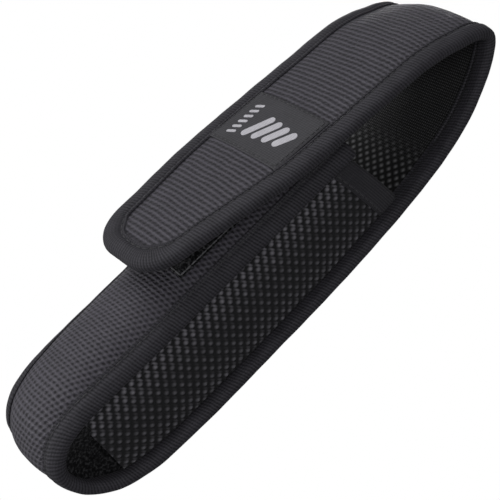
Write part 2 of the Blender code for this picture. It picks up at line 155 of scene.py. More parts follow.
class Strip:
    """The middle surface of the strip: s along it, l across it and h outward from it."""

    def __init__(self):
        rows = np.array(POUCH_PROFILE + FOLD_PROFILE + FLAP_PROFILE, dtype=float)
        rows[:, :3] *= MM
        keys = np.concatenate(([0], np.cumsum(np.hypot(*np.diff(rows[:, :2], axis=0).T))))
        slopes = np.gradient(rows, keys, axis=0)
        dense = []
        for i, span in enumerate(np.diff(keys)):
            steps = max(4, int(span / (0.5 * MM)))
            for t in np.arange(steps) / steps:
                dense.append(hermite(rows[i], rows[i + 1], slopes[i] * span, slopes[i + 1] * span, t))
        dense.append(rows[-1])
        dense = np.array(dense)
        path = np.column_stack((BACK_Y - dense[:, 0], dense[:, 1]))
        self.s = np.concatenate(([0], np.cumsum(np.hypot(*np.diff(path, axis=0).T))))
        self.path = path
        self.half = dense[:, 2]
        self.curl = np.radians(dense[:, 3])
        self.along = np.gradient(path, self.s, axis=0)
        self.length = self.s[-1]
        self.fold_start = self.nearest(POUCH_PROFILE[-1])
        self.crown = self.nearest(FOLD_PROFILE[-1])
        bottom = float(self.s[int(np.argmin(path[:, 1]))])
        self.front = (0.0, bottom)
        self.back = (bottom, self.fold_start)
        self.rear_leg = (self.fold_start, self.crown)
        self.flap = (self.crown, self.length)

    def nearest(self, row):
        away = np.hypot(self.path[:, 0] - (BACK_Y - row[0] * MM), self.path[:, 1] - row[1] * MM)
        return self.s[int(np.argmin(away))]

    def at_height(self, z, stretch):
        inside = (self.s >= stretch[0]) & (self.s <= stretch[1])
        s, heights = self.s[inside], self.path[inside, 1]
        return float(s[int(np.argmin(np.abs(heights - z)))])

    def half_width(self, s, inset=0.0):
        """Half width an inset short of the finished edge, with the flap's rounded tip."""
        s = np.asarray(s, dtype=float)
        half = np.interp(s, self.s, self.half) - inset
        left = self.length - inset - s
        radius = TIP_RADIUS - inset
        corner = radius - np.sqrt(np.clip(radius ** 2 - np.clip(radius - left, 0, radius) ** 2, 0, None))
        return half - corner

    def surface(self, s, l, h):
        """Points at s, l and h, which may be arrays of one shape."""
        s, l, h = np.broadcast_arrays(*(np.asarray(v, dtype=float) for v in (s, l, h)))
        shape = s.shape
        s, l, h = s.ravel(), l.ravel(), h.ravel()
        edge = np.column_stack([np.interp(s, self.s, self.path[:, k]) for k in (0, 1)])
        along = np.column_stack([np.interp(s, self.s, self.along[:, k]) for k in (0, 1)])
        along /= np.hypot(along[:, 0], along[:, 1])[:, None]
        outward = np.column_stack((along[:, 1], -along[:, 0]))
        span = np.interp(s, self.s, self.half) - BINDING_THICK / 2
        curl = np.interp(s, self.s, self.curl)
        x, rise, angle = across(np.abs(l), span, curl)
        _, rise_edge, _ = across(span, span, curl)
        lift = rise_edge - rise + h * np.cos(angle)
        places = edge + outward * lift[:, None]
        x = np.sign(l) * (x + h * np.sin(angle))
        return settle(np.column_stack((x, places))).reshape(*shape, 3)


def settle(points):
    """The uneven set of a sewn piece: on the wearer's right the crown sags and the bottom turn is pulled up."""
    side = smooth(-points[:, 0] / (24 * MM))
    crown = smooth((points[:, 2] - 80 * MM) / (24 * MM))
    turn = smooth((-62 * MM - points[:, 2]) / (34 * MM))
    points[:, 2] += side * (turn * TURN_RISE - crown * CROWN_SAG)
    return points


def smooth(t):
    t = np.clip(t, 0, 1)
    return t * t * (3 - 2 * t)


def hermite(a, b, slope_a, slope_b, t):
    return (a * (1 + 2 * t) * (1 - t) ** 2 + slope_a * t * (1 - t) ** 2
            + b * t * t * (3 - 2 * t) - slope_b * t * t * (1 - t))


def across(l, span, curl):
    """Sideways distance, drop from the crown and slope, l away from the strip's centre line."""
    steps = 12
    inner = np.minimum(l, span)
    t = (np.arange(steps) + 0.5)[None, :] / steps * (inner / span)[:, None]
    angles = curl[:, None] * t ** CURL_POWER
    angle = curl * (inner / span) ** CURL_POWER
    x = np.cos(angles).sum(axis=1) * inner / steps + (l - inner) * np.cos(angle)
    drop = np.sin(angles).sum(axis=1) * inner / steps + (l - inner) * np.sin(angle)
    return x, drop, angle


strip = Strip()
SPLIT = strip.at_height(SPLIT_HEIGHT, strip.rear_leg)


def ripple(u, v, scale, seed):
    """Smooth uneven values from -1 to 1 over a cloth, from a few crossed waves."""
    u, v = np.asarray(u) / scale, np.asarray(v) / scale
    total = 0
    for k in range(1, 5):
        angle = seed * 1.7 + k * 2.4
        wave = (u * math.cos(angle) + v * math.sin(angle)) * (0.7 + 0.45 * k)
        total = total + np.sin(wave * 2 * math.pi + seed * k * 1.3) / k
    return total / 2.1


# ---------------------------------------------------------------- meshes

def make_object(name, verts, faces, uv, slots, face_slots=None, sharp=50):
    """A mesh object whose UV map holds the cloth's own millimetres."""
    mesh = bpy.data.meshes.new(name)
    mesh.from_pydata(np.asarray(verts, dtype=float).tolist(), [], faces)
    layer = mesh.uv_layers.new(name="cloth")
    corner = np.zeros(len(mesh.loops), dtype=np.int64)
    mesh.loops.foreach_get("vertex_index", corner)
    layer.data.foreach_set("uv", np.asarray(uv, dtype=np.float32)[corner].ravel())
    for material in slots:
        mesh.materials.append(material)
    if face_slots is not None:
        mesh.polygons.foreach_set("material_index", np.asarray(face_slots, dtype=np.int32))
    mesh.validate()
    mesh.shade_smooth()
    mesh.set_sharp_from_angle(angle=math.radians(sharp))
    made = bpy.data.objects.new(name, mesh)
    bpy.context.scene.collection.objects.link(made)
    return made


def slab(name, outer, inner, uv, slots):
    """Closed slab between two grids of points. The inner grid's faces take the second material."""
    rows, columns = outer.shape[:2]
    index = np.arange(rows * columns).reshape(rows, columns)
    deep = index + rows * columns
    a, b, c, d = index[:-1, :-1], index[1:, :-1], index[1:, 1:], index[:-1, 1:]
    top = np.stack((a, b, c, d), axis=-1).reshape(-1, 4)
    under = top[:, ::-1] + rows * columns
    walls = []
    for line, low in ((index[:, 0], deep[:, 0]), (index[-1, :], deep[-1, :]),
                      (index[::-1, -1], deep[::-1, -1]), (index[0, ::-1], deep[0, ::-1])):
        walls.append(np.stack((line[:-1], low[:-1], low[1:], line[1:]), axis=-1))
    walls = np.concatenate(walls)
    faces = np.concatenate((top, under, walls)).tolist()
    face_slots = [0] * len(top) + [min(1, len(slots) - 1)] * (len(under) + len(walls))
    verts = np.concatenate((outer.reshape(-1, 3), inner.reshape(-1, 3)))
    both = np.concatenate((uv.reshape(-1, 2), uv.reshape(-1, 2)))
    return outward(make_object(name, verts, faces, both, slots, face_slots))


def sweep(name, rings, uv, slots):
    """Closed body through rings of points, its two ends capped by fans of quads across each ring."""
    count, size = rings.shape[:2]
    index = np.arange(count * size).reshape(count, size)
    following = np.roll(index, -1, axis=1)
    sides = np.stack((index[:-1], following[:-1], following[1:], index[1:]), axis=-1).reshape(-1, 4)
    caps = []
    for ring, flip in ((index[0], 1), (index[-1], -1)):
        for j in range(size // 2 - 1):
            caps.append([int(ring[k]) for k in (j, j + 1, size - 2 - j, size - 1 - j)][::flip])
    faces = sides.tolist() + caps
    return outward(make_object(name, rings.reshape(-1, 3), faces, uv.reshape(-1, 2), slots))


def outward(piece):
    """Turn a closed piece's faces outward."""
    body = bmesh.new()
    body.from_mesh(piece.data)
    bmesh.ops.recalc_face_normals(body, faces=body.faces)
    if body.calc_volume(signed=True) < 0:
        bmesh.ops.reverse_faces(body, faces=body.faces)
    body.to_mesh(piece.data)
    body.free()
    return piece


def spaced(low, high, step):
    return np.linspace(low, high, max(2, int(round((high - low) / step)) + 1))


# ---------------------------------------------------------------- materials

class Wire:
    """A value in a material's node tree. Arithmetic on it adds nodes."""

    def __init__(self, tree, socket):
        self.tree, self.socket = tree, socket

    def math(self, operation, *others, clamp=False):
        node = self.tree.nodes.new("ShaderNodeMath")
        node.operation, node.use_clamp = operation, clamp
        for socket, value in zip(node.inputs, (self, *others)):
            if isinstance(value, Wire):
                self.tree.links.new(value.socket, socket)
            else:
                socket.default_value = value
        return Wire(self.tree, node.outputs[0])

    def __add__(self, other):
        return self.math("ADD", other)

    def __sub__(self, other):
        return self.math("SUBTRACT", other)

    def __mul__(self, other):
        return self.math("MULTIPLY", other)

    def flipped(self):
        """1 less the value."""
        return self.math("MULTIPLY_ADD", -1.0, 1.0)

    def wave(self):
        """0 to 1 and back, once for each whole step of the value, with its top at whole numbers."""
        return (self * (2 * math.pi)).math("COSINE").math("MULTIPLY_ADD", 0.5, 0.5)

    def step(self, low, high):
        """Smooth step from 0 at low to 1 at high."""
        node = self.tree.nodes.new("ShaderNodeMapRange")
        node.interpolation_type = "SMOOTHSTEP"
        self.tree.links.new(self.socket, node.inputs["Value"])
        node.inputs["From Min"].default_value = low
        node.inputs["From Max"].default_value = high
        return Wire(self.tree, node.outputs["Result"])


class Cloth:
    """A cloth material under construction: maths on the cloth's own millimetres, then one shader."""

    def __init__(self, name):
        self.material = bpy.data.materials.new(name)
        self.material.use_nodes = True
        self.tree = self.material.node_tree
        self.shader = self.tree.nodes["Principled BSDF"].inputs
        place, split = self.node("UVMap"), self.node("SeparateXYZ")
        place.uv_map = "cloth"
        self.place = place.outputs["UV"]
        self.tree.links.new(self.place, split.inputs[0])
        self.u, self.v = (Wire(self.tree, split.outputs[axis]) for axis in "XY")

    def node(self, kind):
        return self.tree.nodes.new("ShaderNode" + kind)

    def noise(self, size, detail=2.0, stretch=(1, 1)):
        """Noise from 0 to 1, its lumps about size millimetres across."""
        scaled, node = self.node("VectorMath"), self.node("TexNoise")
        scaled.operation = "MULTIPLY"
        scaled.inputs[1].default_value = (stretch[0] / size, stretch[1] / size, 0)
        self.tree.links.new(self.place, scaled.inputs[0])
        node.inputs["Scale"].default_value = 1.0
        node.inputs["Detail"].default_value = detail
        self.tree.links.new(scaled.outputs[0], node.inputs["Vector"])
        return Wire(self.tree, node.outputs["Fac"])

    def uneven(self, *size, **stretch):
        """Noise about 0."""
        return self.noise(*size, **stretch) - 0.5

    def finish(self, height, depth, dark, light, rough=(0.7, 0.5), sheen=0.15, specular=0.5,
               mottle=8.0, mottle_share=0.25, shade=None):
        """Colour from painted shade in the gaps to a painted highlight on the threads, with relief of depth
        millimetres.
        """
        shade = height if shade is None else shade
        # The mix by shade paints shade into the weave's gaps and light onto its raised threads; the mottle
        # noise is uneven tone of the cloth.
        colour = self.node("Mix")
        colour.data_type = "RGBA"
        factor = self.uneven(mottle, 3.0).math("MULTIPLY_ADD", mottle_share * 2, shade, clamp=True)
        self.tree.links.new(factor.socket, colour.inputs["Factor"])
        for key, value in (("A", dark), ("B", light)):
            socket = [s for s in colour.inputs if s.name == key and s.type == "RGBA"][0]
            socket.default_value = (*value, 1)
        mixed = [s for s in colour.outputs if s.type == "RGBA"][0]
        self.tree.links.new(mixed, self.shader["Base Color"])
        roughness = shade.math("MULTIPLY_ADD", rough[1] - rough[0], rough[0], clamp=True)
        self.tree.links.new(roughness.socket, self.shader["Roughness"])
        bump = self.node("Bump")
        bump.inputs["Strength"].default_value = 1.0
        bump.inputs["Distance"].default_value = depth * MM
        self.tree.links.new(height.socket, bump.inputs["Height"])
        self.tree.links.new(bump.outputs["Normal"], self.shader["Normal"])
        self.shader["Sheen Weight"].default_value = sheen
        self.shader["Sheen Roughness"].default_value = 0.4
        self.shader["Specular IOR Level"].default_value = specular
        return self.material


def ballistic_nylon():
    """Ribs across the strip, broken by the warp into staggered knots, most so on the pouch's front."""
    cloth = Cloth("ballistic_nylon")
    turn = strip.back[1] / MM - 60
    front_rows = cloth.v.math("MINIMUM", turn) * (1 / FRONT_ROW)
    flap_rows = (cloth.v + -turn).math("MAXIMUM", 0.0) * (1 / FLAP_ROW)
    row = front_rows + flap_rows + cloth.uneven(9.0) * 0.55
    wider = 1 / FLAP_KNOT - 1 / FRONT_KNOT
    knots = cloth.v.step(turn - 40, turn + 40).math("MULTIPLY_ADD", wider, 1 / FRONT_KNOT)
    ridge, knot = row.wave(), (cloth.u * knots + row * 0.5).wave()
    on_flap = cloth.v.step((strip.crown - 0.02) / MM, (strip.crown + 0.05) / MM)
    knotted = on_flap.math("MULTIPLY_ADD", -0.30, 0.62)
    pit = ridge.flipped() * (knot * knotted).flipped()
    top = ridge * knot.flipped() * knotted
    height = top.math("MULTIPLY_ADD", 0.35, pit).flipped()
    height = cloth.uneven(0.45, 2.0, stretch=(0.45, 1)).math("MULTIPLY_ADD", 0.95, height, clamp=True)
    return cloth.finish(height, 0.55, (0.0085, 0.0078, 0.0104), (0.0700, 0.0650, 0.0815),
                        rough=(0.8, 0.5), sheen=0.03, specular=0.4, mottle=6.0, mottle_share=0.16)


def binding_tape():
    """Fine ribs across the tape, crossed by finer threads, leaning where it is pulled round the edge."""
    cloth = Cloth("binding_tape")
    leaning = cloth.u.math("MULTIPLY_ADD", 0.26, cloth.uneven(5.0) * 0.9)
    ribs = (leaning + cloth.v * (1 / 1.15)).wave()
    threads = (cloth.u * (1 / 0.95)).wave()
    height = threads.math("MULTIPLY_ADD", 0.17, ribs * 0.6) + 0.11
    height = cloth.uneven(0.5).math("MULTIPLY_ADD", 0.8, height, clamp=True)
    return cloth.finish(height, 0.16, (0.0075, 0.0072, 0.0092), (0.0450, 0.0428, 0.0520),
                        rough=(0.82, 0.6), sheen=0.03, specular=0.28, mottle=7.0, mottle_share=0.3)


def lining_cloth():
    """Matt lining: coarse raised dots near the mouth, a finer grain above."""
    cloth = Cloth("lining")
    row, column = cloth.v * (1 / 1.9), cloth.u * (1 / 1.9)
    dots = ((row + column) * 0.5).wave() * ((row - column) * 0.5).wave()
    fine = (cloth.v * 1.0).wave() * (cloth.u * (1 / 0.9)).wave()
    coarse = cloth.v.step((strip.fold_start + 0.022) / MM, (strip.fold_start + 0.006) / MM)
    mixed = dots.math("MAXIMUM", 0.0).math("POWER", 1.3) * coarse + fine * 0.45 * coarse.flipped()
    # The dots' tops take a painted highlight, far lighter than the black lining, over painted shade between
    # them; the finer grain above reaches less than half as light.
    return cloth.finish(mixed, 0.4, (0.004, 0.004, 0.0042), (0.150, 0.150, 0.156), rough=(0.9, 0.5),
                        sheen=0.02, specular=0.3, mottle_share=0.03)


def elastic_web():
    """Elastic webbing: the raised floats are in the mesh, and this adds their threads, a painted highlight on
    their tops and painted shade between them.
    """
    cloth = Cloth("elastic_web")
    threads = (cloth.u * (1 / 0.42)).wave()
    height = cloth.uneven(0.6).math("MULTIPLY_ADD", 0.6, threads * 0.6)
    raised = cloth.node("Attribute")
    raised.attribute_name = "raised"
    return cloth.finish(height, 0.1, (0.0035, 0.0035, 0.0045), (0.230, 0.222, 0.250), rough=(0.8, 0.42),
                        sheen=0.03, specular=0.4, mottle=5.0, mottle_share=0.02,
                        shade=Wire(cloth.tree, raised.outputs["Fac"]))


def plain_tape():
    """Fine plain weave of the hems."""
    cloth = Cloth("plain_tape")
    crossing = (cloth.v * (1 / 0.9)).wave() * (cloth.u * (1 / 0.9)).wave()
    height = crossing.math("MULTIPLY_ADD", 0.55, cloth.noise(1.4, 3.0) * 0.5)
    return cloth.finish(height, 0.12, (0.004, 0.004, 0.005), (0.060, 0.058, 0.068), rough=(0.85, 0.6),
                        sheen=0.05, specular=0.3, mottle=6.0, mottle_share=0.35)


def pile(name, size, depth, light=0.075):
    """Fuzzy face of the fastener patches and the brushed cloth inside the bottom turn."""
    cloth = Cloth(name)
    height = cloth.noise(size, 3.0).step(0.42, 0.72)
    return cloth.finish(height, depth, (0.003, 0.003, 0.0035), (light, light, light * 1.07), rough=(1.0, 0.85),
                        sheen=0.12, specular=0.1)


def label_cloth():
    """Close satin weave of the label."""
    cloth = Cloth("woven_label")
    weft, warp = (cloth.v * (1 / 0.8)).wave(), (cloth.u * (1 / 1.1)).wave()
    height = cloth.noise(1.2).math("MULTIPLY_ADD", 0.5, weft.math("MULTIPLY_ADD", 0.35, warp * 0.25))
    return cloth.finish(height, 0.12, (0.020, 0.0195, 0.022), (0.052, 0.051, 0.058), rough=(0.8, 0.55),
                        sheen=0.05, specular=0.3)


def mark_thread():
    """Pale embroidery thread of the label's mark."""
    cloth = Cloth("mark_thread")
    height = cloth.noise(0.7).math("MULTIPLY_ADD", 0.5, (cloth.v * (1 / 0.5)).wave() * 0.5)
    return cloth.finish(height, 0.15, (0.30, 0.29, 0.32), (0.66, 0.65, 0.69), rough=(0.8, 0.55))


def sewing_thread(name, dark, light):
    """Twisted sewing thread."""
    cloth = Cloth(name)
    twist = (cloth.v * (1 / 0.5) + cloth.u * (1 / 0.5)).wave()
    return cloth.finish(twist, 0.06, dark, light, rough=(0.7, 0.45))


def webbing():
    """Herringbone webbing of the belt loop."""
    cloth = Cloth("webbing")
    zigzag = ((cloth.u * (1 / 6.0)).math("FRACT") - 0.5).math("ABSOLUTE")
    ribs = (cloth.v * (1 / 1.6) + zigzag * 4.0).wave()
    height = cloth.uneven(0.6).math("MULTIPLY_ADD", 0.3, ribs)
    return cloth.finish(height, 0.3, (0.010, 0.010, 0.012), (0.050, 0.049, 0.056), rough=(0.75, 0.5))


MATERIALS = {
    "nylon": ballistic_nylon(),
    "tape": binding_tape(),
    "lining": lining_cloth(),
    "elastic": elastic_web(),
    "plain": plain_tape(),
    "loops": pile("loop_pile", 1.1, 0.5),
    "hooks": pile("hook_pile", 0.7, 0.4),
    "brushed": pile("brushed_cloth", 1.0, 0.12, light=0.035),
    "label": label_cloth(),
    "mark": mark_thread(),
    "dark_thread": sewing_thread("dark_thread", (0.010, 0.010, 0.012), (0.045, 0.044, 0.050)),
    "pale_thread": sewing_thread("pale_thread", (0.06, 0.06, 0.066), (0.17, 0.17, 0.18)),
    "webbing": webbing(),
}


# ---------------------------------------------------------------- riding

def bend_low(piece):
    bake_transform(piece)


def bend_high(piece):
    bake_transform(piece)


def place_on(body, piece, slot, *replaced):
    """A piece that rides on one body, and the CAD nodes that it stands for."""
    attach(piece, body)
    if replaced:
        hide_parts(*replaced)


# ---------------------------------------------------------------- padded panels

def panel(name, start, end, end_inset, replaced, bend):
    """Shell and lining over their foam for one stretch of the strip, pinched at its stitch lines."""
    rows = spaced(start, end - end_inset, 0.9 * MM)
    share = np.linspace(-1, 1, 49)
    s = rows[:, None] + 0 * share[None, :]
    l = strip.half_width(rows, BINDING_THICK / 2)[:, None] * share[None, :]
    to_edge = strip.half_width(rows)[:, None] - np.abs(l)
    if end_inset:
        to_edge = np.minimum(to_edge, strip.length - s)
    plump = 1 - np.exp(-np.clip(to_edge - BINDING_FACE, 0, None) / (2.6 * MM))
    uneven = ripple(s, l, 0.031, 3) * 0.10 * MM + ripple(s, l, 0.012, 5) * 0.05 * MM
    outer_h = LAMINATE / 2 - 0.28 * MM + plump * 0.55 * MM + uneven * plump
    inner_h = -LAMINATE / 2 + 0.2 * MM - plump * 0.25 * MM + uneven * plump
    uv = np.stack((l / MM, s / MM), axis=-1)
    piece = slab(name, strip.surface(s, l, outer_h), strip.surface(s, l, inner_h), uv,
                 (MATERIALS["nylon"], MATERIALS["lining"]))
    bend(piece)
    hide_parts(*replaced)


# ---------------------------------------------------------------- bindings

def tape_section(groove_depth=GROOVE_DEPTH):
    """Outer line of the folded tape, from its outer face's inner edge round to the inner face's."""
    radius, face, shell = BINDING_THICK / 2, BINDING_FACE, LAMINATE / 2
    half = [(face, shell + 0.10 * MM), (face - 0.25 * MM, shell + 0.52 * MM),
            (face - 0.75 * MM, shell + SEAM_PROUD)]
    groove = face - STITCH_INSET
    half += [(groove, shell + SEAM_PROUD - groove_depth), (groove - 0.75 * MM, shell + 0.62 * MM)]
    for share in (0.75, 0.45, 0.2):
        half.append((radius + (groove - 0.75 * MM - radius) * share, radius + 0.12 * MM * math.sin(share * 3)))
    arc = [(radius - radius * math.sin(a), radius * math.cos(a)) for a in np.linspace(0, math.pi, 13)]
    return half + arc + [(w, -h) for w, h in reversed(half)]


def fold_tape(name, section, places, inward, surface, slots, tape=TAPE, widen=0.0, shut=(0, 0)):
    """A tape folded over an edge of a cloth, given by places (n, 2) and their inward directions (n, 2).

    widen says how much wider its faces are than the section's, and shut the lengths over which its two ends
    are tucked in.
    """
    section = np.array(section)
    steps = np.hypot(*np.diff(places, axis=0).T)
    length = np.concatenate(([0], np.cumsum(steps)))
    around = np.concatenate(([0], np.cumsum(np.hypot(*np.diff(section, axis=0).T))))
    slope = np.gradient(section, axis=0)
    slope /= np.hypot(slope[:, 0], slope[:, 1])[:, None]
    inner = section + np.column_stack((-slope[:, 1], slope[:, 0])) * tape * tape_side(section)
    ring = np.concatenate((section, inner[::-1]))
    around = np.concatenate((around, around[::-1]))
    w, h = ring[:, 0][None, :], ring[:, 1][None, :]
    gather = ripple(length[:, None], around[None, :], 0.013, 2) * 0.09 * MM
    face = np.clip(w - BINDING_THICK / 2, 0, None)
    w = w + face * np.broadcast_to(widen, len(length))[:, None]
    spread = np.ones(len(length))
    for tuck, run in zip(shut, (length, length[-1] - length)):
        if tuck:
            spread = spread * np.sqrt(1 - np.clip(1 - run / tuck, 0, 0.999) ** 2)
    u = places[:, :1] + inward[:, :1] * w
    v = places[:, 1:] + inward[:, 1:] * w
    rings = surface(u, v, (h + np.sign(h) * gather) * spread[:, None])
    uv = np.stack(np.broadcast_arrays(around[None, :] / MM, length[:, None] / MM), axis=-1)
    return sweep(name, rings, uv, slots)


def tape_side(section):
    """Which way the tape's inside lies from its outer line."""
    middle = section.mean(axis=0)
    first = section[len(section) // 2]
    slope = np.gradient(section, axis=0)[len(section) // 2]
    normal = np.array([-slope[1], slope[0]])
    return 1.0 if normal @ (middle - first) > 0 else -1.0


def side_places(start, end, side):
    """One long edge of the strip, with close steps at its start."""
    s = np.concatenate((start + END_STEPS, spaced(start + AFTER_ENDS, end, ROLL_STEP)))
    places = np.column_stack((s, side * strip.half_width(s)))
    return places, np.column_stack((0 * s, -side + 0 * s))


def flap_places(start):
    """The upper piece's edge from the split, round the flap's tip and back."""
    straight = spaced(start, strip.length - TIP_RADIUS, ROLL_STEP)
    turns = np.linspace(0, math.pi / 2, 22)[1:]
    round_s = strip.length - TIP_RADIUS * (1 - np.sin(turns))
    right_s = np.concatenate((straight, round_s))
    right = np.column_stack((right_s, strip.half_width(right_s)))
    tip = right[-1, 1]
    bottom = np.column_stack((np.full(9, strip.length), np.linspace(tip, -tip, 11)[1:-1]))
    left = right[::-1] * np.array([1, -1])
    places = np.concatenate((right, bottom, left))
    along = np.gradient(places, axis=0)
    along /= np.hypot(along[:, 0], along[:, 1])[:, None]
    inward = np.column_stack((along[:, 1], -along[:, 0]))
    inward[0], inward[-1] = (0, -1), (0, 1)
    return places, inward


def stitches(name, points, normals, thread="dark_thread", share=0.86):
    """One lens-shaped stitch from each point to the next, lying on the cloth."""
    middles = (points[1:] + points[:-1]) / 2
    along = points[1:] - points[:-1]
    length = np.linalg.norm(along, axis=1)
    along /= length[:, None]
    up = normals[:-1] - (normals[:-1] * along).sum(axis=1)[:, None] * along
    up /= np.linalg.norm(up, axis=1)[:, None]
    side = np.cross(along, up)
    bands, sectors = (-1.0, -0.72, 0.0, 0.72, 1.0), 6
    widths = (0.12, 0.78, 1.0, 0.78, 0.12)
    verts, uv, faces = [], [], []
    for k in range(len(middles)):
        base = len(verts)
        for band, width in zip(bands, widths):
            for j in range(sectors):
                turn = 2 * math.pi * j / sectors
                offset = side[k] * math.cos(turn) + up[k] * math.sin(turn)
                place = middles[k] + along[k] * length[k] / 2 * share * band + offset * THREAD_RADIUS * width
                verts.append(place)
                uv.append((j * 0.3, band * length[k] / 2 / MM))
        for i in range(len(bands) - 1):
            for j in range(sectors):
                a, b = base + i * sectors + j, base + i * sectors + (j + 1) % sectors
                faces.append((a, b, b + sectors, a + sectors))
        faces.append(tuple(base + j for j in range(sectors))[::-1])
        faces.append(tuple(base + (len(bands) - 1) * sectors + j for j in range(sectors)))
    made = make_object(name, verts, faces, uv, (MATERIALS[thread],), sharp=80)
    return made


def seam_on_strip(name, s, l, h, bend):
    """A row of stitches on the strip through places (s, l) on one of its faces."""
    length = np.concatenate(([0], np.cumsum(np.hypot(np.diff(s), np.diff(l)))))
    at = spaced(0, length[-1], STITCH_STEP)
    s, l = np.interp(at, length, s), np.interp(at, length, l)
    points = strip.surface(s, l, h)
    normals = (strip.surface(s, l, h + MM) - points) * math.copysign(1, h)
    bend(stitches(name, points, normals))


def binding(name, section, edge, **options):
    """A folded roll of binding tape along an edge of the strip."""
    places, inward = edge
    piece = fold_tape(name, section, places, inward, strip.surface, (MATERIALS["tape"],), **options)
    return piece


def build_bindings():
    """Rolls and seams along the two sides, round the flap and over the mouth's edge."""
    groove = BINDING_FACE - STITCH_INSET
    seam_h = LAMINATE / 2 + SEAM_PROUD - GROOVE_DEPTH + THREAD_RADIUS * 0.4
    for side, word in ((-1, "left"), (1, "right")):
        depth = GROOVE_DEPTH if side < 0 else GROOVE_DEPTH * 0.45
        piece = binding(f"binding_{word}", tape_section(depth), side_places(0.0, SPLIT, side),
                        shut=(SIDE_TUCK, 0))
        bend_low(piece)
        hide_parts(f"pouch_binding_{word}", f"fold_binding_{word}")
        s = spaced(1.5 * MM, SPLIT, MM)
        seam_on_strip(f"binding_seam_{word}", s, side * (strip.half_width(s) - groove),
                      seam_h + GROOVE_DEPTH - depth, bend_low)
    places, inward = flap_places(SPLIT)
    from_tip = np.clip(strip.length - places[:, 0], 0, None) / TIP_RADIUS
    widen = 0.32 * np.exp(-((from_tip - 0.35) / 0.45) ** 2) * smooth(np.abs(places[:, 1]) / (9 * MM))
    piece = binding("flap_binding_roll", tape_section(), (places, inward), widen=widen)
    bend_high(piece)
    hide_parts("flap_binding")
    inner_line = places + inward * (groove + (groove - BINDING_THICK / 2) * widen)[:, None]
    seam_on_strip("flap_seam", inner_line[:, 0], inner_line[:, 1], seam_h, bend_high)
    reach = strip.half_width(0.0) - BINDING_FACE + 2.0 * MM
    l = spaced(AFTER_ENDS - reach, reach - AFTER_ENDS, ROLL_STEP)
    l = np.concatenate((END_STEPS - reach, l, reach - END_STEPS[::-1]))
    edge = np.column_stack((0 * l, l)), np.column_stack((1 + 0 * l, 0 * l))
    piece = binding("mouth_binding_roll", tape_section(), edge, shut=(MOUTH_TUCK, MOUTH_TUCK))
    place_on("pouch", piece, "binding_tape", "mouth_binding")


# ---------------------------------------------------------------- gussets

def gusset_surface(side, k, z, h):
    """Middle surface of a gusset: k from the front edge (0) to the back edge (1), height, offset.

    Beyond either edge k runs on along the flange that is sewn in behind the binding.
    """
    k, z, h = np.broadcast_arrays(*(np.asarray(v, dtype=float) for v in (k, z, h)))
    heights = np.linspace(GUSSET_BOTTOM - 4 * MM, GUSSET_TOP_BACK + 4 * MM, 90)
    ends = []
    for stretch, offset in ((strip.front, GUSSET_IN_FRONT), (strip.back, GUSSET_IN_BACK)):
        s = np.array([strip.at_height(height, stretch) for height in heights])
        roll = strip.surface(s, strip.half_width(s) - BINDING_THICK / 2, 0)[:, :2] + np.array(offset)
        for axis in (0, 1):
            fit = np.polynomial.polynomial.polyfit(heights / MM, roll[:, axis], 6)
            roll[:, axis] = np.polynomial.polynomial.polyval(heights / MM, fit)
        ends.append(np.stack([np.interp(z, heights, roll[:, axis]) for axis in (0, 1)], axis=-1))
    start, chord = ends[0], ends[1] - ends[0]
    width = np.linalg.norm(chord, axis=-1)[..., None]
    before, after = np.clip(-k, 0, None)[..., None] * width, np.clip(k - 1, 0, None)[..., None] * width
    k = np.clip(k, 0, 1)[..., None]
    bulge = 4 * np.array(GUSSET_BULGE)
    place = start + chord * k + bulge * k * (1 - k)
    slope = chord + bulge * (1 - 2 * k)
    inside_front, inside_back = np.array((0.47, 0.88)), np.array((-1.0, 0.10))
    place = place - inside_front * before + inside_back * after
    slope = np.where(before > 0, inside_front, slope)
    slope = np.where(after > 0, inside_back, slope)
    normal = np.stack((slope[..., 1], -slope[..., 0]), axis=-1)
    normal /= np.linalg.norm(normal, axis=-1)[..., None]
    place = place + normal * h[..., None]
    return np.stack((side * place[..., 0], place[..., 1], z), axis=-1)


def gusset_top(k):
    return GUSSET_TOP_FRONT + (GUSSET_TOP_BACK - GUSSET_TOP_FRONT) * k


def floats(u, v, k):
    """Height, 0 to 1, of the raised floats of the elastic: a leaning lattice of knots with slanted links."""
    pitch_u, pitch_v = FLOAT_PITCH
    lean = math.radians(4)
    a = (u * math.cos(lean) + v * math.sin(lean)) / pitch_u
    b = (v * math.cos(lean) - u * math.sin(lean)) / pitch_v
    near_seam = np.exp(-(k / 0.34) ** 2) + 0.55 * np.exp(-((1 - k) / 0.2) ** 2)
    best = np.zeros(np.shape(a))
    knots = ((0, 0), (0.5, 0.5))
    links = ((0.30, 0.75), (0.80, 0.25), (0.12, 0.62), (0.62, 0.12))
    for number, (shift_a, shift_b) in enumerate(knots + links):
        x = (a - shift_a - np.round(a - shift_a)) * pitch_u
        y = (b - shift_b - np.round(b - shift_b)) * pitch_v
        if number < 2:
            tilt, wide, long, tallest = 10, 0.86, 1.05, 1.0
        elif number < 4:
            tilt, wide, long, tallest = 58, 0.55, 1.10, 0.42 + 0.50 * near_seam
        else:
            tilt, wide, long, tallest = -20, 0.40, 0.80, 0.45 * near_seam
        tilt = math.radians(tilt)
        across_float = x * math.cos(tilt) - y * math.sin(tilt)
        along_float = x * math.sin(tilt) + y * math.cos(tilt)
        lump = 1 - (across_float / (wide * MM)) ** 2 - (along_float / (long * MM)) ** 2
        best = np.maximum(best, tallest * np.clip(lump, 0, None) ** 0.6)
    return np.clip(best, 0, 1)


